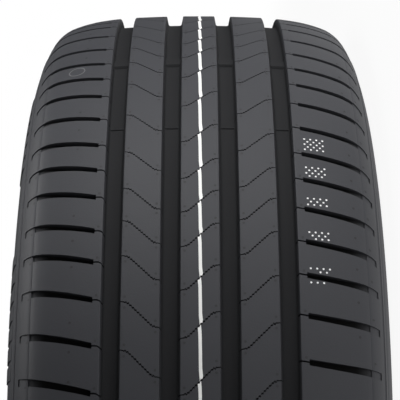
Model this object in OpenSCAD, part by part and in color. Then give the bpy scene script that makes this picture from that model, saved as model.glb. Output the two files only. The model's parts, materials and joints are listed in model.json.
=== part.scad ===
// Low-profile road tyre for a passenger car, lying on its sidewall.
// The spin axis is Z and the origin is the middle of the tyre. Outlines are drawn
// as [radius, height], and turns are counted from the -Y side towards +X.

/* [Size] */
// Outside diameter of the new tyre
outer_d = 634.3; // [628:0.1:642]
// Overall width across the sidewalls
section_w = 227.2; // [224:0.2:234]
// Diameter of the rim seat that the beads grip
bead_seat_d = 436.6; // [436:0.1:437.2]
// Distance between the outside faces of the beads, the width of the rim
rim_w = 190.5; // [180:0.5:200]

/* [Tread profile] */
// Radius of the tread crown across the tyre
crown_r = 870; // [700:10:1400]
// Radius of the tread where it starts to fall towards the shoulder
fall_r = 217; // [190:1:240]
// Radius of the outer tread beside the shoulder
outer_tread_r = 103; // [95:1:112]
// Radius of the round shoulder
shoulder_r = 27; // [24:0.5:30]
// Distance from the middle of the shoulder's arc out to the widest place of the tyre
shoulder_in = 34.4; // [33:0.1:38]

/* [Grooves] */
// Depth of the four grooves that run round the tyre
groove_depth = 6.8; // [5:0.1:8.5]
// Width of the rib on the centre line
centre_rib_w = 22.5; // [18:0.1:26]
// Width of the two grooves beside the centre rib
inner_groove_w = 11.7; // [9:0.1:13]
// Width of the two ribs between the grooves
middle_rib_w = 22.1; // [18:0.1:25]
// Width of the two grooves beside the shoulders
outer_groove_w = 11.4; // [9:0.1:13]
// How much the groove walls lean, as width lost at each side of the floor
groove_lean = 1.4; // [0.4:0.1:2.5]
// Height of the wear bars above the groove floor
wear_bar_h = 1.6; // [1:0.1:2.5]
// Length of a wear bar round the tyre
wear_bar_len = 9; // [5:0.5:14]

/* [Tread pattern] */
// Times that the pitch pattern repeats round the tyre
blocks = 4; // [3:1:5]
// Short, middle and long pitch, as shares of a block
pitch_sizes = [3.7, 4.25, 4.9];
// Order of the shoulder pitches in one block, 0 short, 1 middle, 2 long
shoulder_order = [2, 2, 1, 0, 1, 0, 0, 1, 1, 0, 0, 1, 1, 0, 0, 2, 1, 0, 1, 0, 1, 0];
// Order of the rib pitches in one block, 0 short, 1 middle, 2 long
rib_order = [2, 1, 1, 0, 0, 1, 2, 2, 1, 0, 0, 1, 2, 1, 0, 1, 0, 1];
// Turn of the first shoulder slot
shoulder_start = 4.9; // [0:0.1:10]
// Turn of the first rib sipe
rib_start = 3.6; // [0:0.1:10]
// Share of a pitch by which the lower slots trail the upper ones
lower_phase = 0.6; // [0:0.05:1]
// Share of a pitch by which the centre rib's sipes trail the others
centre_phase = 0.22; // [0:0.02:1]

/* [Shoulder slots] */
// Width of a shoulder slot
slot_w = 4; // [2.5:0.1:4.8]
// Distance from the outer groove to the blunt end of a slot
slot_gap = 4.6; // [3:0.1:8]
// Distance from the widest place of the tyre in to the end of the deep part of a slot
slot_inset = 16; // [14:0.5:20]
// Length of the shallow ledge at the outer end of a slot
ledge_len = 6.5; // [3:0.5:7]
// Depth of a slot at its blunt end
slot_depth = 5.4; // [3.5:0.1:6.5]
// Depth of a slot where its ledge starts
slot_end_depth = 3.2; // [2:0.1:4]
// Depth of the shallow ledge
ledge_depth = 1; // [0.5:0.1:1.5]
// Angle by which the upper slots lean round the tyre
upper_slant = 11; // [0:0.5:14]
// Angle by which the lower slots lean round the tyre
lower_slant = 6.6; // [0:0.2:14]

/* [Sipes] */
// Width of the thin cuts in the ribs
sipe_w = 0.8; // [0.5:0.05:1.2]
// Depth of the thin cuts in the ribs
sipe_depth = 5.6; // [3:0.1:6.5]
// Rise of a rib's sipe round the tyre from one groove to the next
sipe_rise = 15.8; // [10:0.1:18]

/* [Sidewall and bead] */
// Thickness of the rubber from the tread down to the air chamber
crown_thick = 15.5; // [13:0.1:18]
// Thickness of the sidewall at its widest place
sidewall_thick = 8; // [6:0.1:10]
// Height of the widest place of the sidewall above the rim seat
widest_h = 36.6; // [34:0.1:44]
// Radius of the air chamber under the shoulder
chamber_r = 46; // [40:0.5:52]
// Distance from the rim seat up to the middle of the rim protector rib
protector_h = 27; // [25:0.5:30]
// Width of the rim protector rib
protector_w = 5; // [3:0.5:7]
// Distance that the rim protector rib stands out of the sidewall
protector_out = 0.6; // [0.2:0.1:1]
// Length of the straight seat that grips the rim at each bead
seat_len = 14; // [8:0.5:16]
// Radius of the outside corner of the bead
heel_r = 5; // [3:0.5:6]
// Height above the rim seat at which the bead bends out round the rim flange
flange_h = 10.3; // [8:0.1:12]
// Thickness of the bead from its outside face to its toe
bead_thick = 20; // [18:0.5:23]

/* [Hidden] */
rubber = [0.2, 0.2, 0.21];
outer_r = outer_d / 2;
half_w = section_w / 2;
seat_r = bead_seat_d / 2;
rim_half = rim_w / 2;
above = 6;
overlap = 1;

// Normal angles at which one tread curve ends and the next one starts
fall_end = 9;
outer_tread_end = 20.5;
crown_end = asin(
    (half_w - shoulder_in - (fall_r - outer_tread_r) * sin(fall_end)
     - (outer_tread_r - shoulder_r) * sin(outer_tread_end)) / (crown_r - fall_r));

// Points on an arc about a centre, both ends included
function arc(centre, radius, from, to, steps) =
    [for (i = [0 : steps]) let (a = from + (to - from) * i / steps)
        [centre[0] + radius * cos(a), centre[1] + radius * sin(a)]];

// Points on an arc that leaves a point at one normal angle and ends at another
function arc_from(start, radius, from, to, steps) =
    arc([start[0] - radius * cos(from), start[1] - radius * sin(from)], radius, from, to, steps);

function last(list) = list[len(list) - 1];
function without_last(list) = [for (i = [0 : len(list) - 2]) list[i]];
function reversed(list) = [for (i = [len(list) - 1 : -1 : 0]) list[i]];
function mirrored(points) = [for (p = reversed(points)) [p[0], -p[1]]];

// The tread and upper sidewall: tangent arcs from the centre line to the widest place
crown_curve = arc([outer_r - crown_r, 0], crown_r, 0, crown_end, 2);
fall_curve = arc_from(last(crown_curve), fall_r, crown_end, fall_end, 2);
outer_tread_curve = arc_from(last(fall_curve), outer_tread_r, fall_end, outer_tread_end, 2);
widest_r = seat_r + widest_h;
shoulder_centre = last(outer_tread_curve) - shoulder_r * [cos(outer_tread_end), sin(outer_tread_end)];
drop = shoulder_centre[0] - widest_r;
buttress_r = (drop * drop + shoulder_in * shoulder_in - shoulder_r * shoulder_r)
    / (shoulder_in - shoulder_r) / 2;
shoulder_end = atan2(buttress_r - shoulder_in, drop);
shoulder_curve = arc_from(last(outer_tread_curve), shoulder_r, outer_tread_end, shoulder_end, 4);
buttress_curve = arc_from(last(shoulder_curve), buttress_r, shoulder_end, 90, 4);
tread_curve = concat(
    without_last(crown_curve), without_last(fall_curve), without_last(outer_tread_curve),
    without_last(shoulder_curve), buttress_curve);

// The lower sidewall: the rim protector rib, the seat of the rim flange and the bead
protector_r = seat_r + protector_h;
flange_round = 6;
bead_lean = 3;
protector_curve = [
    [protector_r + protector_w / 2 + protector_out, half_w - protector_out],
    [protector_r + protector_w / 2, half_w],
    [protector_r - protector_w / 2, half_w],
    [protector_r - protector_w / 2 - protector_out, half_w - protector_out]];
heel_curve = arc([seat_r + heel_r, rim_half - heel_r], heel_r, 90 + bead_lean, 180, 5);
flange_centre = [seat_r + flange_h, rim_half + flange_round];
flange_way = last(protector_curve) - flange_centre;
flange_end = 360 + atan2(flange_way[1], flange_way[0]) - acos(flange_round / norm(flange_way));
flange_curve = arc(flange_centre, flange_round, 270 + bead_lean, flange_end, 4);
outside = concat(
    tread_curve, protector_curve, reversed(flange_curve), heel_curve,
    [[seat_r, rim_half - heel_r - seat_len]]);

// The air chamber: from the middle of the crown down to the toe of the bead
liner_r = 900;
inner_half = half_w - sidewall_thick;
liner_end = asin((inner_half - chamber_r) / (liner_r - chamber_r));
liner_curve = arc([outer_r - crown_thick - liner_r, 0], liner_r, 0, liner_end, 2);
inner_shoulder_curve = arc_from(last(liner_curve), chamber_r, liner_end, 90, 8);
lower_liner_r = 18;
lower_liner_end = 130;
lower_liner_curve = arc_from(last(inner_shoulder_curve), lower_liner_r, 90, lower_liner_end, 3);
toe_z = rim_half - bead_thick;
toe_round = 1.2;
toe_h = 6;
apex_h = 17;
apex_thick = 10;
bead_inside = [
    [seat_r + apex_h, last(flange_curve)[1] - apex_thick],
    [seat_r + toe_h, toe_z],
    [seat_r + toe_round, toe_z]];
inside = concat(
    without_last(liner_curve), without_last(inner_shoulder_curve), lower_liner_curve, bead_inside);
half_outline = concat(outside, reversed(inside));

// Height above the spin axis of the tread surface at a distance from the centre line
tread_lookup = [for (p = tread_curve) [p[1], p[0]]];
function tread_r(z) = lookup(abs(z), tread_lookup);

// Edges of the ribs, counted from the centre line
inner_edge = centre_rib_w / 2;
inner_far = inner_edge + inner_groove_w;
outer_edge = inner_far + middle_rib_w;
outer_far = outer_edge + outer_groove_w;

// One groove in section, wider at the top than at its floor
module groove_outline(near, far) {
    floor_r = tread_r((near + far) / 2) - groove_depth;
    top_r = outer_r + above;
    lean = groove_lean / groove_depth * (top_r - floor_r);
    polygon([[floor_r, near + groove_lean], [top_r, near + groove_lean - lean],
             [top_r, far - groove_lean + lean], [floor_r, far - groove_lean]]);
}

// The whole section, with its grooves
module section() {
    difference() {
        polygon(concat(half_outline, mirrored(half_outline)));
        for (side = [0, 1]) mirror([0, side]) {
            groove_outline(inner_edge, inner_far);
            groove_outline(outer_edge, outer_far);
        }
    }
}

// Turns at which the pitches of one block start
function total(list, n) = n == 0 ? 0 : total(list, n - 1) + list[n - 1];
function pitches(order) = [for (i = order) pitch_sizes[i]];
function scaled(list) = let (sum = total(list, len(list))) [for (v = list) v * 360 / blocks / sum];
function starts(list, phase) = [for (i = [0 : len(list) - 1]) total(list, i) + phase * list[i]];
shoulder_pitches = scaled(pitches(shoulder_order));
rib_pitches = scaled(pitches(rib_order));

// Places its children at each start in each block, pointing out of the tread
module round_tread(list, phase, first) {
    for (block = [0 : blocks - 1])
        for (turn = starts(list, phase))
            rotate([0, 0, first + turn + block * 360 / blocks]) rotate([90, 0, 0]) children();
}

// One shoulder slot along its length, as [distance from the blunt end, radius]
slot_start = outer_far + slot_gap;
slot_len = half_w - slot_inset - slot_start;
slot_bend = 0.55;
function slot_floor(distance, depth) = [distance, tread_r(slot_start + distance) - depth];
slot_profile = [
    slot_floor(0, slot_depth),
    slot_floor(slot_len * slot_bend, slot_depth),
    slot_floor(slot_len, slot_end_depth),
    slot_floor(slot_len, ledge_depth),
    slot_floor(slot_len + ledge_len, ledge_depth),
    [slot_len + ledge_len, outer_r + above],
    [0, outer_r + above]];

// One slot as a cutter: a slice of that profile, leaning round the tyre
module slot_cut(slant) {
    translate([0, slot_start, 0]) rotate([0, 0, -slant]) rotate([90, 0, 90])
        linear_extrude(slot_w, center = true) polygon(slot_profile);
}

module upper_slots() {
    round_tread(shoulder_pitches, 0, shoulder_start) slot_cut(upper_slant);
}

module lower_slots() {
    round_tread(shoulder_pitches, lower_phase, shoulder_start)
        mirror([0, 1, 0]) slot_cut(-lower_slant);
}

// One sipe in plan: level at both ends and steep in the middle
module sipe_plan(width, rise) {
    level = 0.09;
    bend = 0.2;
    path = [[0, -overlap], [rise * level, width * bend],
            [rise * (1 - level), width * (1 - bend)], [rise, width + overlap]];
    half = [0.5, 0.8, 0.8, 0.5] * sipe_w;
    polygon(concat(
        [for (i = [0 : 3]) [path[i][0] - half[i], path[i][1]]],
        [for (i = [3 : -1 : 0]) [path[i][0] + half[i], path[i][1]]]));
}

module sipe_cut(near, width, rise) {
    translate([0, near, tread_r(near + width / 2) - sipe_depth])
        linear_extrude(sipe_depth + above) sipe_plan(width, rise);
}

module rib_sipes() {
    round_tread(rib_pitches, 0, rib_start) {
        translate([-sipe_rise, 0, 0]) sipe_cut(inner_far, middle_rib_w, sipe_rise);
        mirror([0, 1, 0]) sipe_cut(inner_far, middle_rib_w, sipe_rise);
    }
    round_tread(rib_pitches, centre_phase, rib_start)
        mirror([0, 1, 0]) sipe_cut(-inner_edge, centre_rib_w, sipe_rise);
}

// The wear bars across the grooves
bar_turns = [36.7, 49.9];
module wear_bars() {
    for (block = [0 : blocks - 1], turn = bar_turns, side = [-1, 1])
        rotate([0, 0, turn + block * 360 / blocks]) rotate([90, 0, 0]) {
            wear_bar(side * (inner_edge + inner_far) / 2, inner_groove_w);
            wear_bar(side * (outer_edge + outer_far) / 2, outer_groove_w);
        }
}

module wear_bar(middle, width) {
    floor_r = tread_r(middle) - groove_depth;
    translate([-wear_bar_len / 2, middle - width / 2 + overlap / 2, floor_r - overlap])
        cube([wear_bar_len, width - overlap, wear_bar_h + overlap]);
}

module tyre() {
    color(rubber) union() {
        difference() {
            rotate_extrude($fn = 180) section();
            upper_slots();
            lower_slots();
            rib_sipes();
        }
        wear_bars();
    }
}

tyre();
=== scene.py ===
# %% [markdown]
# # A low-profile road tyre
# A tyre comes out of its mould as one piece of rubber. Here it is modelled the way the mould is made:
# a plain casing that is turned round the axle line, and tread pieces that are modelled flat for one
# pitch of the pattern, copied once for each pitch and rolled up round the casing.
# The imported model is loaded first, because it sets the size and the place of everything else.

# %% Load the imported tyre
import bisect
import json
import math
import bpy
from mathutils import Matrix, Vector


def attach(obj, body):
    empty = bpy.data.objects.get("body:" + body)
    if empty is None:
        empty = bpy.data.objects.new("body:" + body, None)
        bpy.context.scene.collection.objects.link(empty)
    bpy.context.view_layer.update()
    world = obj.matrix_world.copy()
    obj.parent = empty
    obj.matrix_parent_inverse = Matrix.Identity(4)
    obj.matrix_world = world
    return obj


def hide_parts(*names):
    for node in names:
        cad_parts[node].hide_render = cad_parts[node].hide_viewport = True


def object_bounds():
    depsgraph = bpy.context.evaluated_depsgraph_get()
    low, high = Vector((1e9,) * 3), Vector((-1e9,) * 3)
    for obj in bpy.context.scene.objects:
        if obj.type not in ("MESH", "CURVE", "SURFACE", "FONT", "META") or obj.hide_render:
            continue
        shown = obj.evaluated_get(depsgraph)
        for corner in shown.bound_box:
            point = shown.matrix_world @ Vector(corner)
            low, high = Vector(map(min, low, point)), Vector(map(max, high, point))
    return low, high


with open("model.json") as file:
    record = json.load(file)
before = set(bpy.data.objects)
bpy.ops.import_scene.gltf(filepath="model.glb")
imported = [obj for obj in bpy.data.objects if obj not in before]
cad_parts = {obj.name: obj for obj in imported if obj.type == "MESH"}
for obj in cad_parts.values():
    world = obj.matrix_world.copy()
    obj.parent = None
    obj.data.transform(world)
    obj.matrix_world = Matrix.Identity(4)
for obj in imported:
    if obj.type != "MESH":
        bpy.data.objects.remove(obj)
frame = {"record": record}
cad_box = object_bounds()
print("packed box", [list(corner) for corner in cad_box])

# %% [markdown]
# All sizes below are in millimetres, and MM turns them into Blender's metres. The outside size comes
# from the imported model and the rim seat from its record. The tread rubber stays a hair inside the
# outside diameter, so that the painted line has room on top of it.

# %% Driving sizes
MM = 0.001
PAINT = 0.06
tyre_r = cad_box[1].x / MM - PAINT
half_width = cad_box[1].z / MM
seat_r = frame["record"]["mounts"][0]["dims"]["r_mm"]
rim_half = 190.5 / 2

centre_rib = 22.5
inner_groove = 11.7
middle_rib = 22.1
outer_groove = 11.4
groove_depth = 6.8
groove_lean = 1.4
inner_edge = centre_rib / 2
inner_far = inner_edge + inner_groove
outer_edge = inner_far + middle_rib
outer_far = outer_edge + outer_groove
print("rib edges from the centre line:", inner_edge, inner_far, outer_edge, outer_far)

# %% [markdown]
# The tread of a new tyre is not one arc. It is nearly flat at the crown, bends more towards the
# shoulder, turns quickly at the shoulder and runs out into the sidewall. Arcs that leave each other
# in the same direction give that without a kink. Each arc is worked out from where the last one ended.

# %% The curve across the tread
def arc_from(start, radius, first, last, steps):
    """Points (radius, height) on an arc that leaves a point, from one normal angle to another."""
    centre_r = start[0] - radius * math.cos(math.radians(first))
    centre_z = start[1] - radius * math.sin(math.radians(first))
    angles = [math.radians(first + (last - first) * i / steps) for i in range(steps + 1)]
    return [(centre_r + radius * math.cos(a), centre_z + radius * math.sin(a)) for a in angles]


def joined_arcs(start, arcs, steps):
    """One curve of tangent arcs, each given as (radius, normal angle at its end)."""
    points, normal = [start], 0
    for radius, end in arcs:
        points += arc_from(points[-1], radius, normal, end, steps)[1:]
        normal = end
    return points


def between(points, at):
    """Second value of a list of (value, second value) points at one first value."""
    i = min(max(1, bisect.bisect_left(points, (at,))), len(points) - 1)
    (x0, y0), (x1, y1) = points[i - 1], points[i]
    share = min(1, max(0, (at - x0) / (x1 - x0)))
    return y0 + (y1 - y0) * share


# Crown, falling tread, outer tread and round shoulder, each as (radius, normal angle at its end)
tread_arcs = [(870, 3.05), (217, 9), (103, 20.5), (27, 60.5)]
tread_curve = joined_arcs((tyre_r, 0), tread_arcs, 12)
shoulder_end = tread_curve[-1]
shoulder_normal = tread_arcs[-1][1]
buttress_r = (half_width - shoulder_end[1]) / (1 - math.sin(math.radians(shoulder_normal)))
buttress = arc_from(shoulder_end, buttress_r, shoulder_normal, 90, 16)
tread_curve += buttress[1:]
tread_by_height = [(z, r) for r, z in tread_curve]


def tread_r(z):
    """Radius of the tread surface at a distance from the centre line."""
    return between(tread_by_height, abs(z))


print("tread radius at the shoulder slots:", round(tread_r(61), 2), round(tread_r(97), 2))

# %% [markdown]
# The pattern has three pitch lengths, laid in an order that repeats four times round the tyre. Equal
# pitches would sing at one note on the road. The shoulders and the ribs have their own lengths and order.
# Turns are counted in degrees from the side that faces the camera, towards +X.

# %% Where each pitch starts
shoulder_sizes = (3.7, 4.25, 4.9)
shoulder_order = (2, 2, 1, 0, 1, 0, 0, 1, 1, 0, 0, 1, 2, 2, 0, 0, 1, 0, 0, 0, 1, 0)
rib_sizes = (3.5, 4.3, 5.0)
rib_order = (2, 1, 1, 0, 0, 1, 2, 2, 1, 0, 0, 1, 2, 1, 0, 1, 0, 1)
BLOCKS = 4


def pitch_starts(sizes, order, first, phase=0.0):
    """The turn at which each pitch starts, all the way round and once more."""
    lengths = [sizes[i] for i in order]
    unit = 360 / BLOCKS / sum(lengths)
    turns = []
    for block in range(BLOCKS):
        turn = first + block * 360 / BLOCKS
        for length in lengths:
            turns.append(turn + phase * length * unit)
            turn += length * unit
    return turns + [turns[0] + 360]


upper_slots = pitch_starts(shoulder_sizes, shoulder_order, 4.95)
lower_slots = pitch_starts(shoulder_sizes, shoulder_order, 4.95, phase=0.65)
rib_sipes = pitch_starts(rib_sizes, rib_order, 3.4)
centre_sipes = pitch_starts(rib_sizes, rib_order, 3.4, phase=0.22)
print(len(upper_slots) - 1, "shoulder pitches and", len(rib_sipes) - 1, "rib pitches")

# %% [markdown]
# A few helpers do the hand work. One draws a chain of edges by extruding one corner of a plane. One
# sweeps what is selected along an outline, one extrude for each point. A slab is an outline that is
# filled and extruded. A flat piece lies where the camera side of the tyre is, so Y is minus the radius.

# %% Draw, sweep and close
WELD = 0.002 * MM


def deselect_all():
    """Leaves edit mode, with no object selected."""
    if bpy.context.mode != "OBJECT":
        bpy.ops.object.mode_set(mode="OBJECT")
    bpy.ops.object.select_all(action="DESELECT")


def flat(x, r, z):
    """A point of a flat piece, in metres, from its place in millimetres."""
    return Vector((x, -r, z)) * MM


def extrude(way):
    """Extrudes what is selected along a way in metres."""
    bpy.ops.mesh.extrude_region_move(TRANSFORM_OT_translate={"value": way})


def sweep(points):
    """Extrudes what is selected from the first point through the others."""
    for here, there in zip(points, points[1:]):
        extrude(there - here)


def draw_chain(name, points):
    """A new piece in edit mode: a chain of edges through the points."""
    deselect_all()
    bpy.ops.mesh.primitive_plane_add(size=0.01)
    piece = bpy.context.object
    piece.name = piece.data.name = name
    bpy.ops.object.mode_set(mode="EDIT")
    bpy.ops.mesh.select_mode(type="VERT")
    bpy.ops.mesh.select_all(action="SELECT")
    bpy.ops.mesh.merge(type="CENTER")
    bpy.ops.transform.translate(value=points[0])
    sweep(points)
    bpy.ops.mesh.select_all(action="SELECT")
    return piece


def close_mesh():
    """Merges the corners that meet, turns the faces outwards and leaves edit mode."""
    bpy.ops.mesh.select_all(action="SELECT")
    bpy.ops.mesh.remove_doubles(threshold=WELD)
    bpy.ops.mesh.normals_make_consistent(inside=False)
    bpy.ops.object.mode_set(mode="OBJECT")


def slab(name, outline, way):
    """A closed solid: its outline is drawn as a loop, filled and extruded in two steps."""
    piece = draw_chain(name, outline + outline[:1])
    bpy.ops.mesh.remove_doubles(threshold=WELD)
    bpy.ops.mesh.edge_face_add()
    extrude(way / 2)
    extrude(way / 2)
    close_mesh()
    return piece


# %% [markdown]
# Faces, edges and corners are picked by where they lie on the flat piece, as one would click them.

# %% Select by place
def select_by(piece, kind, wanted):
    """Selects only the items of one kind, FACE, EDGE or VERT, whose middle passes a test."""
    bpy.ops.mesh.select_all(action="DESELECT")
    bpy.ops.mesh.select_mode(type=kind)
    bpy.ops.object.mode_set(mode="OBJECT")
    mesh = piece.data
    items = {"FACE": mesh.polygons, "EDGE": mesh.edges, "VERT": mesh.vertices}[kind]
    for item in items:
        corners = [item.index] if kind == "VERT" else item.vertices
        middle = sum((mesh.vertices[i].co for i in corners), Vector()) / len(corners)
        item.select = wanted(middle.x / MM, -middle.y / MM, middle.z / MM)
    bpy.ops.object.mode_set(mode="EDIT")


# %% [markdown]
# The real tread pattern is cut into the mould pitch by pitch. Here a flat pitch is rolled up: its length
# becomes a turn round the axle line and its depth becomes the radius. Each copy gets its own place.

# %% Roll up
def roll_up(piece, place):
    """Rolls a flat piece round the axle line. place gives (turn, radius, height) for a flat point."""
    for corner in piece.data.vertices:
        turn, r, z = place(corner.co.x / MM, -corner.co.y / MM, corner.co.z / MM)
        turn = math.radians(turn)
        corner.co = Vector((r * math.sin(turn), -r * math.cos(turn), z)) * MM


def roll_copies(tile, name, places, smooth=35):
    """One piece from a copy of the tile at each place. The tile itself goes, and leaves its name free."""
    deselect_all()
    for place in places:
        copy = tile.copy()
        copy.data = tile.data.copy()
        bpy.context.collection.objects.link(copy)
        roll_up(copy, place)
        copy.select_set(True)
        bpy.context.view_layer.objects.active = copy
    bpy.ops.object.join()
    bpy.data.meshes.remove(tile.data)
    piece = bpy.context.object
    piece.name = piece.data.name = name
    bpy.ops.object.mode_set(mode="EDIT")
    close_mesh()
    bpy.ops.object.shade_smooth_by_angle(angle=math.radians(smooth))
    print(name, len(places), "copies,", len(piece.data.polygons), "faces")
    return piece


# %% [markdown]
# The casing is everything that is plain all the way round: the base of the tread with the groove
# floors, the sidewalls, the beads and the inside. A lathe makes such a shape, so its outline is drawn
# as a closed chain and spun round the axle line. The rib blocks and the shoulders stand on it later.

# %% The outline of the casing
plinth_depth = 5.6
plinth_foot = groove_lean * plinth_depth / groove_depth
shoulder_foot_z = 107.9


def under_tread(z, depth):
    """A point (radius, height) at a depth below the tread surface."""
    return (tread_r(z) - depth, z)


def groove_floor(near, far):
    """From one plinth down through a rounded corner to the groove floor, and up to the next plinth."""
    # Each as (distance from the rib's edge, depth)
    corner = [(plinth_foot - 0.15, plinth_depth), (1.5, 6.35), (1.95, 6.7), (2.5, groove_depth)]
    down = [under_tread(near + reach, depth) for reach, depth in corner]
    up = [under_tread(far - reach, depth) for reach, depth in corner[::-1]]
    return down + [under_tread((near + far) / 2, groove_depth)] + up


base_outline = [under_tread(0, plinth_depth), under_tread(6, plinth_depth)]
base_outline += groove_floor(inner_edge, inner_far)
base_outline += [under_tread(z, plinth_depth) for z in (28, 34, 40)]
base_outline += groove_floor(outer_edge, outer_far)
base_outline += [under_tread(z, 6.8) for z in (62, 70, 78, 86, 91)]
base_outline += [under_tread(z, depth) for z, depth in ((97, 5), (102, 3.4), (106, 2.2), (107.4, 1.2))]
print("base of the tread:", len(base_outline), "points")

# %% [markdown]
# The sidewall bends out to its widest ring, the rim protector, which keeps a kerb off the rim. Below it
# the rubber curls in where the rim's flange lies, and round the heel of the bead to the straight seat
# that grips the rim. Arcs and a few corners give it, each a point of radius and height.

# %% Sidewall and bead
protector_r = seat_r + 27
protector = [
    (protector_r + 4.6, half_width - 1.0), (protector_r + 3.1, half_width - 0.6),
    (protector_r + 2.5, half_width), (protector_r - 2.5, half_width), (protector_r - 3.1, half_width - 0.6)]
sidewall = [(r, z) for r, z in buttress if z >= shoulder_foot_z]
heel_r = 5
flange_round = 6
seat_length = 14
bead_thick = 20
toe_round = 1.2
toe_height = 6
flange_rise = protector[-1][0] - seat_r - heel_r
flange_reach = (half_width - rim_half) * math.tan(math.radians(30)) + flange_round / 2


def arc_about(centre, radius, first, last, steps):
    """Points (radius, height) on an arc about a centre."""
    angle = math.radians(first)
    start = (centre[0] + radius * math.cos(angle), centre[1] + radius * math.sin(angle))
    return arc_from(start, radius, first, last, steps)


flange_seat = arc_about(
    (seat_r + heel_r + flange_rise - flange_reach, rim_half + flange_round), flange_round, 330, 273, 6)
heel = arc_about((seat_r + heel_r, rim_half - heel_r), heel_r, 93, 180, 8)
bead = [(seat_r, rim_half - heel_r - seat_length), (seat_r + toe_round, rim_half - bead_thick),
        (seat_r + toe_height, rim_half - bead_thick)]
side_outline = sidewall + protector + flange_seat + heel + bead
print("sidewall and bead:", len(side_outline), "points")

# %% [markdown]
# Inside, a thin airtight liner follows the tread, the sidewall and the top of the bead. The outline of one
# half is mirrored for the other half, and the whole loop is spun into one closed body.

# %% The inside, and the spin
crown_thick = 15.5
sidewall_thick = 8
liner_normal = 4
liner = joined_arcs((tyre_r - crown_thick, 0), [(900, liner_normal)], 6)
inner_half = half_width - sidewall_thick
inner_shoulder_r = (inner_half - liner[-1][1]) / (1 - math.sin(math.radians(liner_normal)))
liner += arc_from(liner[-1], inner_shoulder_r, liner_normal, 90, 18)[1:]
liner += arc_from(liner[-1], 18, 90, 130, 6)[1:]
liner += [(seat_r + 17, flange_seat[0][1] - 11)]
half_outline = base_outline + side_outline + liner[::-1]
whole_outline = half_outline + [(r, -z) for r, z in half_outline[::-1]]
whole_outline += [whole_outline[0]]

casing = draw_chain("casing", [flat(0, r, z) for r, z in whole_outline])
bpy.ops.mesh.remove_doubles(threshold=WELD)
bpy.ops.mesh.spin(steps=288, angle=math.tau, center=(0, 0, 0), axis=(0, 0, 1))
close_mesh()
bpy.ops.object.shade_smooth_by_angle(angle=math.radians(30))
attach(casing, "root")
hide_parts("tyre")
print("casing", len(casing.data.polygons), "faces")

# %% [markdown]
# The shoulders carry the wide slots. One pitch is modelled flat: a row of edges as long as the pitch
# is swept up the groove wall, over the shoulder and back underneath, and the slot is pressed into it
# by extruding its faces inwards. The columns of faces already follow the slot and the thin sipe that
# joins it to the groove.

# %% One pitch of the shoulder, without its slot
shoulder_pitch = math.tau * tyre_r / (len(upper_slots) - 1)
half_pitch = shoulder_pitch / 2
slot_half = 2.0
neck_half = 0.5
slot_margin = 3.2
right_columns = [neck_half, slot_half, slot_margin, 7, half_pitch]
columns = [-x for x in right_columns[::-1]] + right_columns
slot_start = outer_far + 4.6
neck_bend = 58.9
step_z = 97.0
ledge_end = 103.4
slot_depth = 5.4
slot_end_depth = 1.7
ledge_depth = 1.0
foot_depth = 7.4

# Each row as (distance from the centre line, depth below the tread surface)
wall_rows = [(outer_far - groove_lean, foot_depth), (outer_far - groove_lean, groove_depth),
             (outer_far - groove_lean * slot_depth / groove_depth, slot_depth),
             (outer_far - 0.05, 0.5), (outer_far + 0.1, 0.12), (outer_far + 0.5, 0)]
top_rows = [(z, 0) for z in (57.3, 58.1, neck_bend, slot_start, 65, 70, 75, 80, 84, 88, 91, 94)]
line_rows = [(step_z - 0.4, 0), (step_z, 0.25), (step_z + 0.4, 0)]
edge_rows = [(z, 0) for z in (99, 101, ledge_end, 105)]
edge_rows += [(105.7, 0.45), (106.3, 0.45), (106.8, -0.6), (107.3, -0.6), (shoulder_foot_z, 0.1), (107.8, 2.4)]
under_rows = [(105, 5), (97, 6.2), (90, foot_depth), (74, foot_depth), wall_rows[0]]
shoulder_rows = wall_rows + top_rows + line_rows + edge_rows + under_rows

shoulder_path = [flat(-half_pitch, tread_r(z) - depth, z) for z, depth in shoulder_rows]
start_z = wall_rows[0][0]
tile = draw_chain("shoulder_pitch", [flat(x, tread_r(start_z) - foot_depth, start_z) for x in columns])
sweep(shoulder_path)
close_mesh()
print("shoulder pitch", len(tile.data.polygons), "faces")

# %% [markdown]
# A blade in the mould forms each slot. It is deep at its blunt inner end, rises towards the edge of the
# tread, and steps up to a shallow ledge. The whole slot is pressed in by the ledge's depth, the deep part
# once more, and then its floor is lowered towards the inner end.

# %% Press the slot in
floor_slope = 1.7


def press(piece, wanted, depth):
    """Extrudes the faces that pass a test straight inwards."""
    select_by(piece, "FACE", wanted)
    extrude((0, depth * MM, 0))


def in_slot(x, r, z):
    """Whether the middle of a face lies in the slot or on its ledge, before it is pressed."""
    return abs(x) < slot_half and slot_start < z < ledge_end and r > tread_r(z) - 1


def in_deep_slot(x, r, z):
    """Whether the middle of a face lies in the deep part, after the first press."""
    return abs(x) < slot_half and slot_start < z < step_z and abs(r - tread_r(z) + ledge_depth) < 0.5


bpy.ops.object.mode_set(mode="EDIT")
press(tile, in_slot, ledge_depth)
press(tile, in_deep_slot, slot_end_depth - ledge_depth)
bpy.ops.object.mode_set(mode="OBJECT")
for corner in tile.data.vertices:
    x, r, z = corner.co.x / MM, -corner.co.y / MM, corner.co.z / MM
    on_floor = slot_end_depth - 0.15 < tread_r(z) - r < slot_end_depth + 1.3
    if on_floor and abs(x) <= slot_half + 0.01 and slot_start - 0.01 <= z <= step_z + 0.01:
        share = min(1, (step_z - z) / (step_z - slot_start) * floor_slope)
        corner.co.y += (slot_depth - slot_end_depth) * share * MM
print("slot", len(tile.data.polygons), "faces")

# %% [markdown]
# A thin sipe joins the slot's blunt end to the groove. Its faces are taken out of the groove wall, the
# top and the blunt end, and the open loop that is left gets a floor and two sides.

# %% Cut the neck
wall_z = wall_rows[2][0]


def in_neck(x, r, z):
    """Whether the middle of a face lies between the neck's two sides and above its floor."""
    return abs(x) < neck_half and wall_z - 0.01 < z < slot_start + 0.01 and tread_r(z) - r < slot_depth - 0.01


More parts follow.
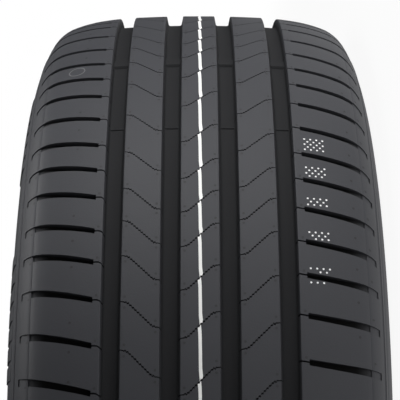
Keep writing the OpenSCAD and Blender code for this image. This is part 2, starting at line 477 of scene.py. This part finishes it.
def on_neck_side(x, r, z):
    """Whether a corner belongs to the neck's side at x, when x is counted from that side."""
    return abs(x) < 0.01 and wall_z - 0.01 < z < slot_start + 0.01 and tread_r(z) - r < slot_depth + 0.02


def on_neck_floor(x, r, z):
    """Whether a corner belongs to one of the four that bound the neck's floor."""
    at_end = abs(z - wall_z) < 0.01 or abs(z - slot_start) < 0.01
    return at_end and abs(x) < neck_half + 0.01 and abs(tread_r(z) - r - slot_depth) < 0.02


def fill(piece, wanted):
    """Makes one face between the corners that pass a test."""
    select_by(piece, "VERT", wanted)
    bpy.ops.mesh.edge_face_add()


deselect_all()
tile.select_set(True)
bpy.context.view_layer.objects.active = tile
bpy.ops.object.mode_set(mode="EDIT")
select_by(tile, "FACE", in_neck)
bpy.ops.mesh.delete(type="FACE")
for side in (-1, 1):
    fill(tile, lambda x, r, z: on_neck_side(x - side * neck_half, r, z))
fill(tile, on_neck_floor)
close_mesh()
print("slot and neck", len(tile.data.polygons), "faces")

# %% [markdown]
# On the real tyre the slots lean round the tyre, more on one side than on the other, and widen a little
# towards the edge. A long pitch has a longer block but no wider slot. So a copy is stretched only
# between its slots, to half the way to each neighbour.

# %% Roll the shoulders up
UPPER_LEAN = 1.58
LOWER_LEAN = -0.94
UPPER_CURL = 0.24


def slot_path(z, lean, curl):
    """Turn of a slot's middle away from its inner end, at one distance from the centre line."""
    share = (z - slot_start) / (ledge_end - slot_start)
    if share > 0:
        return lean * (1.25 * share - 0.25 * share * share)
    if curl:
        near_groove = min(1, max(0, (neck_bend - z) / (neck_bend - outer_far)))
        return -curl * near_groove * near_groove
    return lean * 1.25 * share


def slot_width(z):
    """How wide a slot is at one distance from the centre line, as a share of the flat one."""
    share = min(1, max(0, (z - slot_start) / (step_z - slot_start)))
    return 0.88 + 0.24 * share


def shoulder_place(turns, i, side, lean, curl=0):
    """Where a flat point of pitch i goes. Near the slot lengths stay true, and between slots they stretch."""
    count = len(turns) - 1
    here = turns[i]
    back = here - turns[i - 1] if i else turns[count] - turns[count - 1]
    ahead = turns[i + 1] - here

    def place(x, r, z):
        widen = slot_width(z) if abs(x) > neck_half + 0.1 else 1
        near = min(abs(x), slot_margin) * widen * math.degrees(1 / tyre_r)
        share = max(0, abs(x) - slot_margin) / (half_pitch - slot_margin)
        reach = (ahead if x > 0 else back) / 2
        offset = near + share * (reach - near)
        return here + math.copysign(offset, x) + slot_path(z, lean, curl), r, side * z
    return place


spare = tile.copy()
spare.data = tile.data.copy()
bpy.context.collection.objects.link(spare)
upper_shoulder = roll_copies(tile, "upper_shoulder", [
    shoulder_place(upper_slots, i, 1, UPPER_LEAN, UPPER_CURL) for i in range(len(upper_slots) - 1)])
lower_shoulder = roll_copies(spare, "lower_shoulder", [
    shoulder_place(lower_slots, i, -1, LOWER_LEAN) for i in range(len(lower_slots) - 1)])
for shoulder in (upper_shoulder, lower_shoulder):
    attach(shoulder, "root")

# %% [markdown]
# Each rib is a row of blocks with a thin sipe between neighbours. A sipe is pressed by a steel blade
# that is folded into small teeth, so that the blocks lock together when the tyre brakes. One block is
# swept flat and straight, and rolling it up bends its two ends along the blade's wavy path.

# %% One block and its path
sipe_w = 0.95
sipe_rise = 15.8
tooth = 1.45
tooth_h = 1.15
tooth_rise = 0.7
lip = 0.5
BLOCK_STEPS = 4
# The blade's path and its teeth, as (share of the rib's width, share of the rise or of a tooth)
blade_path = [(0, 0), (0.19, 0.065), (0.81, 0.935), (1, 1)]
blade_teeth = [(0.07, 0), (0.13, 1), (0.87, 1), (0.93, 0)]


def sipe_path(share, width, direction):
    """How far a sipe has run round the tyre at a share of the rib's width, and how wide it is."""
    share = min(1, max(0, share))
    run = sipe_rise * between(blade_path, share if direction > 0 else 1 - share)
    phase = share * width / tooth % 1
    saw = phase / tooth_rise if phase < tooth_rise else (1 - phase) / (1 - tooth_rise)
    full = between(blade_teeth, share)
    return run - direction * (saw - 0.5) * tooth_h * full, sipe_w * (0.65 + 0.35 * full)


def rib_heights(near, far):
    """Heights of a block's rows: two for each tooth of the blade."""
    width = far - near
    rows = [near, near + 0.3, near + 0.9]
    teeth = int(width / tooth)
    rows += [near + tooth * (n + part) for n in range(1, teeth) for part in (0, tooth_rise)]
    return rows + [far - 0.9, far - 0.3, far]


def rib_block(name, near, far, length):
    """A block between two sipes: its top swept from one end to the other, then its walls."""
    rows = rib_heights(near, far)
    piece = draw_chain(name, [flat(0, tread_r(z), z) for z in rows])
    sweep([flat(length * i / BLOCK_STEPS, 0, 0) for i in range(BLOCK_STEPS + 1)])
    bpy.ops.mesh.select_all(action="SELECT")
    extrude((0, lip * MM, 0))
    extrude((0, (groove_depth + 0.5 - lip) * MM, 0))
    widen = 1 + 2 * groove_lean / (far - near)
    bpy.ops.transform.resize(value=(1, 1, widen), center_override=flat(0, 0, (near + far) / 2))
    bpy.ops.mesh.select_all(action="SELECT")
    bpy.ops.mesh.normals_make_consistent(inside=False)
    select_by(piece, "EDGE", lambda x, r, z: r > tread_r(z) - 0.01 and (z < near + 0.01 or z > far - 0.01))
    bpy.ops.mesh.bevel(offset=0.35 * MM, segments=2)
    bpy.ops.object.mode_set(mode="OBJECT")
    return piece


# %% [markdown]
# The three ribs are the same block at three places, each copy as long as its own pitch. The sipes of the
# upper rib rise to the other side than those of the centre rib and the lower rib.

# %% Roll the ribs up
rib_pitch = math.tau * tyre_r / (len(rib_sipes) - 1)


def rib_place(turns, i, near, far, direction):
    """Where a flat point of block i goes, between its own sipe and the next one."""
    here, ahead = turns[i], turns[i + 1]

    def place(x, r, z):
        path, width = sipe_path((z - near) / (far - near), far - near, direction)
        gap = math.degrees(width / tyre_r)
        turn = here + gap / 2 + (ahead - here - gap) * x / rib_pitch + math.degrees(path / tyre_r)
        return turn, r, z
    return place


def rib(name, turns, near, far, direction, offset=0.0):
    """A whole rib. direction says to which side its sipes rise."""
    block = rib_block(name, near, far, rib_pitch)
    turns = [turn + math.degrees(offset / tyre_r) for turn in turns]
    places = [rib_place(turns, i, near, far, direction) for i in range(len(turns) - 1)]
    piece = roll_copies(block, name, places)
    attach(piece, "root")
    return piece


upper_rib = rib("upper_rib", rib_sipes, inner_far, outer_edge, 1, -sipe_rise)
centre_rib_blocks = rib("centre_rib", centre_sipes, -inner_edge, inner_edge, -1)
lower_rib = rib("lower_rib", rib_sipes, -outer_edge, -inner_far, -1)

# %% [markdown]
# Low bars cross the floors of the grooves at six places round the tyre. When the tread has worn down
# to them, the tyre is due for replacing. One bar is drawn from the side and extruded across a groove,
# with its ends sunk into the groove walls and its foot into the floor. Where two parts of the mould
# meet, a thin seam is left, which is made in the same way.

# %% Wear bars and seams
bar_turns = [52 + n * 60 for n in range(6)]
seam_turns = [38 + n * 90 for n in range(4)]


def groove_bar(name, half, height, slope):
    """A bar across a groove, drawn from the side, with sloping ends."""
    reach = inner_groove / 2 - groove_lean + 0.4
    outline = [(-half - slope, -0.5), (-half, height - 0.2), (-half + 0.3, height), (0, height),
               (half - 0.3, height), (half, height - 0.2), (half + slope, -0.5)]
    points = [flat(x, tyre_r - groove_depth + h, -reach) for x, h in outline]
    return slab(name, points, Vector((0, 0, 2 * reach * MM)))


def bar_place(turn, groove_z, groove_w):
    """Where a flat point of a bar goes, in one groove."""
    def place(x, r, z):
        new_z = groove_z + z * groove_w / inner_groove
        return turn + math.degrees(x / tyre_r), tread_r(new_z) + r - tyre_r, new_z
    return place


grooves = [(side * (near + width / 2), width) for side in (-1, 1)
           for near, width in ((inner_edge, inner_groove), (outer_edge, outer_groove))]
wear_bars = roll_copies(groove_bar("wear_bar", half=4.2, height=1.6, slope=1.2), "wear_bars", [
    bar_place(turn, z, w) for turn in bar_turns for z, w in grooves], 25)
seams = roll_copies(groove_bar("seam", half=0.7, height=0.55, slope=0.3), "seams", [
    bar_place(turn, z, w) for turn in seam_turns for z, w in grooves], 25)

# %% [markdown]
# The upper sidewall has low bars where it bends over into the shoulder. They stand in groups with gaps
# between them. One bar is drawn in section, along the curve of the sidewall, and extruded by its width.

# %% Sidewall bars
bar_height = 0.6
bar_w = 8.6
bar_inner_r, bar_outer_r = 261, 283
bar_middle_r = (bar_inner_r + bar_outer_r) / 2
side_bar_turns = [8.2 + group * 30 + n * 2.45 for group in range(12) for n in range(7)]
bar_rows = [(r, z) for r, z in buttress if bar_inner_r < r < bar_outer_r]
raised = [(r, min(z + bar_height, half_width - 0.02)) for r, z in bar_rows]
(first_r, first_z), (last_r, last_z) = raised[0], raised[-1]
raised = [(first_r - 0.3, first_z - 0.3)] + raised[1:-1] + [(last_r + 0.3, last_z - 0.3)]
sunk = [(r, z - bar_height) for r, z in bar_rows[::-1]]
side_bar = slab("sidewall_bar", [flat(-bar_w / 2, r, z) for r, z in raised + sunk], Vector((bar_w * MM, 0, 0)))


def side_bar_place(turn):
    """Where a flat point of a sidewall bar goes."""
    def place(x, r, z):
        return turn + math.degrees(x / bar_middle_r), r, z
    return place


side_bars = roll_copies(side_bar, "sidewall_bars", [side_bar_place(turn) for turn in side_bar_turns], 30)
for piece in (wear_bars, seams, side_bars):
    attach(piece, "root")

# %% [markdown]
# A painted line runs round the centre rib. It is put on the strip of tread before the tyre is moulded, so
# the mould's blades cut it, and each dash drifts a little from one side to the other. One dash is a flat
# strip, a few hundredths of a millimetre thick, that is rolled up with the block that it lies on.

# %% Painted line
line_w = 1.85
line_thick = 0.045
paint_top = tyre_r + 0.055
dash_rows = [line_w * share for share in (-0.5, -0.25, 0, 0.25, 0.5)]
dash_end = 0.1
DASH_STEPS = 10
dash = draw_chain("painted_line", [flat(dash_end, paint_top, z) for z in dash_rows])
sweep([flat(dash_end + (rib_pitch - 2 * dash_end) * i / DASH_STEPS, 0, 0) for i in range(DASH_STEPS + 1)])
bpy.ops.mesh.select_all(action="SELECT")
extrude((0, line_thick * MM, 0))
close_mesh()
# Each as (share of the block's length, shift across the rib)
dash_drift = [(0, -0.6), (0.2, -0.1), (0.5, 0), (0.85, 0.15), (1, 0.55)]


def dash_place(turns, i):
    """Where a flat point of a dash goes: along its block, with the line's drift across it."""
    on_block = rib_place(turns, i, -inner_edge, inner_edge, -1)
    middle = -0.4 + 0.4 * math.cos(math.radians(2 * turns[i]))

    def place(x, r, z):
        new_z = z + middle + between(dash_drift, x / rib_pitch)
        return on_block(x, r, new_z)[0], tread_r(new_z) + r - tyre_r, new_z
    return place


painted_line = roll_copies(dash, "painted_line", [
    dash_place(centre_sipes, i) for i in range(len(centre_sipes) - 1)])

# %% [markdown]
# On the lower shoulder, five plain patches of white ink dots lie between the slots. On the upper one
# there is one faint ring. Both are thin flat pieces that lie on the rubber.

# %% Dots and ring
def lie_on_tread(turn, middle_z):
    """Lays a flat piece on the tread at a turn and a distance from the centre line."""
    def place(x, r, z):
        return turn + math.degrees(x / tyre_r), tread_r(middle_z + z) + r - tyre_r, middle_z + z
    return place


def clear_of_slots(turn, z, slots, lean):
    """Whether a dot of a shoulder lies beside the slots and not over one."""
    middles = [slot + slot_path(z, lean, 0) for slot in slots]
    away = min(abs((turn - middle + 180) % 360 - 180) for middle in middles)
    return away > math.degrees((slot_half * 1.05 + 0.75) / tyre_r)


dot_r = 0.62
patch_z = 68.8
row_turn = 0.4
column_z = 1.85
patch_turns = [17.5 + patch * 4.27 for patch in range(5)]
grid = [(row, column) for row in range(-2, 3) for column in range(-3, 4) if (row + column) % 2]
dots = [(turn + row * row_turn, patch_z + column * column_z) for turn in patch_turns for row, column in grid]
dot_places = [lie_on_tread(turn, -z) for turn, z in dots if clear_of_slots(turn, z, lower_slots, LOWER_LEAN)]


def disc(name, radius, sides, thick=0.05):
    """A thin disc that faces out of the tread, its underside on the rubber."""
    deselect_all()
    bpy.ops.mesh.primitive_cylinder_add(
        vertices=sides, radius=radius * MM, depth=thick * MM, location=flat(0, tyre_r + 0.01 + thick / 2, 0),
        rotation=(math.pi / 2, 0, 0))
    piece = bpy.context.object
    piece.name = piece.data.name = name
    bpy.ops.object.transform_apply(location=True, rotation=True, scale=True)
    return piece


ink_dots = roll_copies(disc("ink_dots", dot_r, 12), "ink_dots", dot_places)

ring_band = (4.6, 5.4)
ring = draw_chain("ink_ring", [flat(r, tyre_r + 0.05, 0) for r in ring_band])
extrude((0, 0.04 * MM, 0))
bpy.ops.mesh.select_all(action="SELECT")
bpy.ops.mesh.delete(type="ONLY_FACE")
bpy.ops.mesh.select_all(action="SELECT")
bpy.ops.mesh.spin(steps=40, angle=math.tau, center=flat(0, tyre_r, 0), axis=(0, 1, 0))
close_mesh()
ink_ring = roll_copies(ring, "ink_ring", [lie_on_tread(49.3, 78.7)])

# %% [markdown]
# The mould lets air out through small holes, and each leaves a faint round mark on the rubber. They
# stand in rows round the shoulders, and in pairs beside the ends of the sipes.

# %% Mould marks
def even_marks(first, count, z, slots, lean):
    """Places of marks at even steps all the way round, without those that would lie over a slot."""
    turns = [first + n * 360 / count for n in range(count)]
    return [lie_on_tread(turn, z) for turn in turns if clear_of_slots(turn, abs(z), slots, lean)]


def slot_marks(slots, ahead, z):
    """Places of one mark beside each slot, some way ahead of it."""
    return [lie_on_tread(turn + ahead, z) for turn in slots[:-1]]


def sipe_end_marks(turns, near, far, direction, offset=0.0):
    """Places of the marks above and below both ends of each sipe in a rib."""
    places = []
    for turn in turns[:-1]:
        for z in (near + 2.3, far - 2.3):
            path, width = sipe_path((z - near) / (far - near), far - near, direction)
            places += [lie_on_tread(turn + math.degrees((path + offset + width / 2 + step) / tyre_r), z)
                       for step in (-3.3, 3.3)]
    return places


mark_places = even_marks(37.2, 116, 73.7, upper_slots, UPPER_LEAN)
mark_places += slot_marks(upper_slots, 0.5, 59.0) + slot_marks(upper_slots, 0.9, 98.6)
mark_places += slot_marks(lower_slots, 0.3, -99.4)
mark_places += even_marks(41.7, 94, -90.5, lower_slots, LOWER_LEAN)
mark_places += slot_marks(lower_slots, 0.5, -59.3)
mark_places += sipe_end_marks(rib_sipes, inner_far, outer_edge, 1, -sipe_rise)
mark_places += sipe_end_marks(centre_sipes, -inner_edge, inner_edge, -1)
mark_places += sipe_end_marks(rib_sipes, -outer_edge, -inner_far, -1)
mould_marks = roll_copies(disc("mould_marks", 0.8, 8, 0.03), "mould_marks", mark_places)
for piece in (painted_line, ink_dots, ink_ring, mould_marks):
    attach(piece, "root")

# %% [markdown]
# Light hardly reaches the bottom of a groove, so shade is painted into the colour there. Each corner gets a
# painted shade by how far below the tread surface it lies, and the material uses it later. The painted shade
# is darker in the slots than in the grooves, and a sipe is painted dark from just under its lips.

# %% Shade by depth
groove_shade = 0.74
shade_depths = [(0.9, 0), (3.2, 1)]
tread_inner_r = 285


def shade_by_depth(piece, dark_from, dark_to):
    """Writes the painted shade of each corner. Between two distances from the centre line it is darkest."""
    shade = piece.data.attributes.new("shade", "FLOAT", "POINT")
    for corner, value in zip(piece.data.vertices, shade.data):
        r = math.hypot(corner.co.x, corner.co.y) / MM
        z = abs(corner.co.z) / MM
        below = tread_r(z) - r
        in_dark = dark_from < z < dark_to
        in_rib = in_dark and dark_to < outer_edge
        if in_rib and lip * 0.8 < below < 2:
            value.value = 1
        elif r > tread_inner_r and below < 9:
            value.value = (1 if in_dark else groove_shade) * between(shade_depths, below)


for piece in (casing, wear_bars, seams):
    shade_by_depth(piece, 0, 0)
for piece in (upper_shoulder, lower_shoulder):
    shade_by_depth(piece, slot_start - 0.1, ledge_end)
for piece in (upper_rib, lower_rib):
    shade_by_depth(piece, inner_far + 0.2, outer_edge - 0.2)
shade_by_depth(centre_rib_blocks, -1, inner_edge - 0.2)
print("shade written on 8 pieces")

# %% [markdown]
# The camera stands level with the tyre's middle and lies on its side, because the photograph shows
# the tyre with its axle line across the picture. Its place, tilt and lens were worked out from the
# groove edges.

# %% Camera
tilt = 0.152
yaw = 0.0044
camera_data = bpy.data.cameras.new("camera")
camera_data.sensor_width = 36
camera_data.lens = 142.73
camera = bpy.data.objects.new("camera", camera_data)
bpy.context.collection.objects.link(camera)
forward = Vector((math.sin(tilt), math.cos(tilt) * math.cos(yaw), -math.sin(yaw))).normalized()
up = Vector((math.cos(tilt), -math.sin(tilt), 0))
right = forward.cross(up).normalized()
up = right.cross(forward)
camera.matrix_world = Matrix((right, up, -forward)).transposed().to_4x4()
camera.location = Vector((0, -1200.21, 4.08)) * MM
bpy.context.scene.camera = camera
print("camera looks along", [round(v, 3) for v in forward])

# %% [markdown]
# Finishes are built from shader nodes. Wires between them are slow to read, so a small class stands for
# one socket, and sums and products of such values add the maths nodes by themselves.

# %% Shader values
class Value:
    """One socket of some nodes, so that a pattern can be written as a sum."""

    def __init__(self, nodes, socket):
        self.nodes, self.socket = nodes, socket

    def math(self, operation, first, second):
        """One maths node of two values or numbers."""
        return self.nodes.add("ShaderNodeMath", {"operation": operation}, {0: first, 1: second})

    def __add__(self, other):
        return self.math("ADD", self, other)

    def __rsub__(self, other):
        return self.math("SUBTRACT", other, self)

    def __mul__(self, other):
        return self.math("MULTIPLY", self, other)

    __radd__ = __add__
    __rmul__ = __mul__


# %% [markdown]
# Any node comes from one method, which takes its type, its settings and what goes into its sockets. A
# finish is a material with such nodes and one main shader.

# %% Nodes and finishes
class Nodes:
    """The nodes of a finish or of the light around the tyre."""

    def __init__(self, tree):
        self.tree = tree

    def add(self, kind, settings=None, inputs=None, output=0):
        """A node of one type: its settings first, then the values or links of its sockets. Gives one output."""
        node = self.tree.nodes.new(kind)
        for key, value in (settings or {}).items():
            setattr(node, key, value)
        for key, value in (inputs or {}).items():
            self.feed(node.inputs[key], value)
        return Value(self, node.outputs[output]) if output is not None else None

    def feed(self, socket, value):
        """Links a value to a socket, or sets the socket to a plain number or colour."""
        if isinstance(value, Value):
            self.tree.links.new(value.socket, socket)
        else:
            socket.default_value = value

    def mix(self, factor, first, second):
        """One colour where the factor is 0 and the other where it is 1."""
        first, second = [c if isinstance(c, Value) else (*c, 1) for c in (first, second)]
        return self.add("ShaderNodeMix", {"data_type": "RGBA"}, {"Factor": factor, "A": first, "B": second}, 2)


class Finish(Nodes):
    """A material, its nodes and its main shader."""

    def __init__(self, name):
        self.material = bpy.data.materials.new(name)
        self.material.use_nodes = True
        super().__init__(self.material.node_tree)
        self.shader = self.tree.nodes["Principled BSDF"]

    def set(self, **values):
        """Sets the main shader's sockets, named with _ for each space."""
        for key, value in values.items():
            self.feed(self.shader.inputs[key.replace("_", " ")], value)


# %% [markdown]
# New rubber is a dark grey with a soft sheen. Its colour changes a little over the tyre, in slow clouds,
# and a fine grain in a bump breaks the highlights. Both come from noise on the object's own coordinates,
# and the painted shade of each corner takes the colour down to nearly black in the slots and sipes.

# %% Rubber
rubber = Finish("new_rubber")
where = rubber.add("ShaderNodeTexCoord", output="Object")
clouds = rubber.add("ShaderNodeTexNoise", inputs={"Vector": where, "Scale": 14.0, "Detail": 3.0})
grain = rubber.add("ShaderNodeTexNoise", inputs={"Vector": where, "Scale": 900.0, "Detail": 2.0})
# Painted shade by depth: it darkens the colour in the grooves, slots and sipes.
painted_shade = rubber.add("ShaderNodeAttribute", {"attribute_name": "shade"}, output="Fac")
tint = rubber.mix(clouds, (0.039, 0.040, 0.0455), (0.050, 0.051, 0.0575))
bump = rubber.add("ShaderNodeBump", inputs={"Strength": 0.25, "Distance": 0.0002, "Height": grain})
rubber.set(Base_Color=rubber.mix(painted_shade, tint, (0.002, 0.002, 0.002)), Specular_IOR_Level=0.3,
           Roughness=clouds * 0.1 + 0.55 + painted_shade * 0.3, Normal=bump)


def paint(pieces, finish):
    """Gives each piece one finish."""
    for piece in pieces:
        piece.data.materials.clear()
        piece.data.materials.append(finish.material)
    print(finish.material.name, "on", len(pieces), "pieces")


paint((casing, upper_shoulder, lower_shoulder, upper_rib, centre_rib_blocks, lower_rib,
       wear_bars, seams, side_bars), rubber)

# %% [markdown]
# The line is thick white paint, the dots are white ink, and the ring has nearly worn off. A mould mark is a
# thin disc a shade darker than the rubber: painted shade for the shadow that each small raised mark casts.

# %% Paint and ink
white_paint = Finish("white_paint")
white_paint.set(Base_Color=(0.92, 0.92, 0.9, 1), Roughness=0.6)
paint([painted_line], white_paint)
white_ink = Finish("white_ink")
white_ink.set(Base_Color=(0.85, 0.85, 0.85, 1), Roughness=0.7)
paint([ink_dots], white_ink)
faint_ink = Finish("faint_ink")
faint_ink.set(Base_Color=(0.12, 0.12, 0.125, 1), Roughness=0.6)
paint([ink_ring], faint_ink)
# Painted shade: the mould marks are darker than the rubber in place of their small shadows.
mark_rubber = Finish("mark_rubber")
mark_rubber.set(Base_Color=(0.02, 0.02, 0.022, 1), Roughness=0.7)
paint([mould_marks], mark_rubber)

# %% [markdown]
# The floor and the background are white to the camera, and whitest far from the tyre, so that only its
# soft shadow shows. The white floor throws light back on the lower shoulder, and near the tyre it also glows
# for every ray but the camera's, as painted light that lights the lower shoulder. The lamps stay at a plain
# level.

# %% Floor
FLOOR_GLOW = 0.72
WHITE = (1, 1, 1, 1)

deselect_all()
bpy.ops.mesh.primitive_plane_add(size=8, location=(0, 0, cad_box[0].z - 0.0001))
floor = bpy.context.object
floor.name = "floor"
pale = Finish("white_floor")
pale.set(Base_Color=(0.85, 0.85, 0.85, 1), Roughness=0.9)
sight = pale.add("ShaderNodeLightPath", output="Is Camera Ray")
away = pale.add("ShaderNodeVectorMath", {"operation": "LENGTH"}, {
    0: pale.add("ShaderNodeTexCoord", output="Object")}, "Value")
far_off = pale.add("ShaderNodeMapRange", {"interpolation_type": "SMOOTHSTEP"}, {
    "Value": away, "From Min": 0.3, "From Max": 1.6})
glow = pale.add("ShaderNodeEmission", inputs={"Color": WHITE, "Strength": 1.0})
# Painted light: near the tyre the floor glows for all rays but the camera's, and that glow lights the tyre.
mixed = pale.add("ShaderNodeMixShader", inputs={
    0: sight * (far_off * 0.08 + 0.92) + (1 - sight) * (1 - far_off) * FLOOR_GLOW,
    1: Value(pale, pale.shader.outputs[0]), 2: glow})
pale.feed(pale.tree.nodes["Material Output"].inputs[0], mixed)
floor.data.materials.append(pale.material)
print("floor at", cad_box[0].z)

# %% [markdown]
# The world is white where the camera sees it and gives only a faint light. Four soft square lamps do the
# rest: one before the tread and above it in the picture, two on the upper sidewall's side, and a bigger
# one further up.

# %% World and lamps
world = bpy.context.scene.world or bpy.data.worlds.new("world")
bpy.context.scene.world = world
world.use_nodes = True
world.node_tree.nodes.clear()
around = Nodes(world.node_tree)
seen = around.add("ShaderNodeBackground", inputs={"Color": WHITE, "Strength": 1.0})
ambient = around.add("ShaderNodeBackground", inputs={"Color": (0.9, 0.95, 1.0, 1), "Strength": 0.05})
both = around.add("ShaderNodeMixShader", inputs={
    0: around.add("ShaderNodeLightPath", output="Is Camera Ray"), 1: ambient, 2: seen})
around.add("ShaderNodeOutputWorld", inputs={"Surface": both}, output=None)


def lamp(name, place, size, power):
    """A soft square lamp that faces the tyre."""
    data = bpy.data.lights.new(name, "AREA")
    data.size = size
    data.energy = power
    light = bpy.data.objects.new(name, data)
    bpy.context.collection.objects.link(light)
    light.location = place
    light.rotation_euler = (-Vector(place)).to_track_quat("-Z", "Y").to_euler()


lamp("key", (0.7, -0.52, -0.02), size=0.5, power=4.5)
lamp("side", (0.5, 0, 0.9), size=0.5, power=4.8)
lamp("front_side", (0, -0.5, 0.9), size=0.5, power=0.6)
lamp("far", (1.67, -0.3, 1.1), size=1.0, power=2.2)
bpy.context.scene.view_settings.view_transform = "Standard"
print("lamps:", [light.name for light in bpy.data.lights])
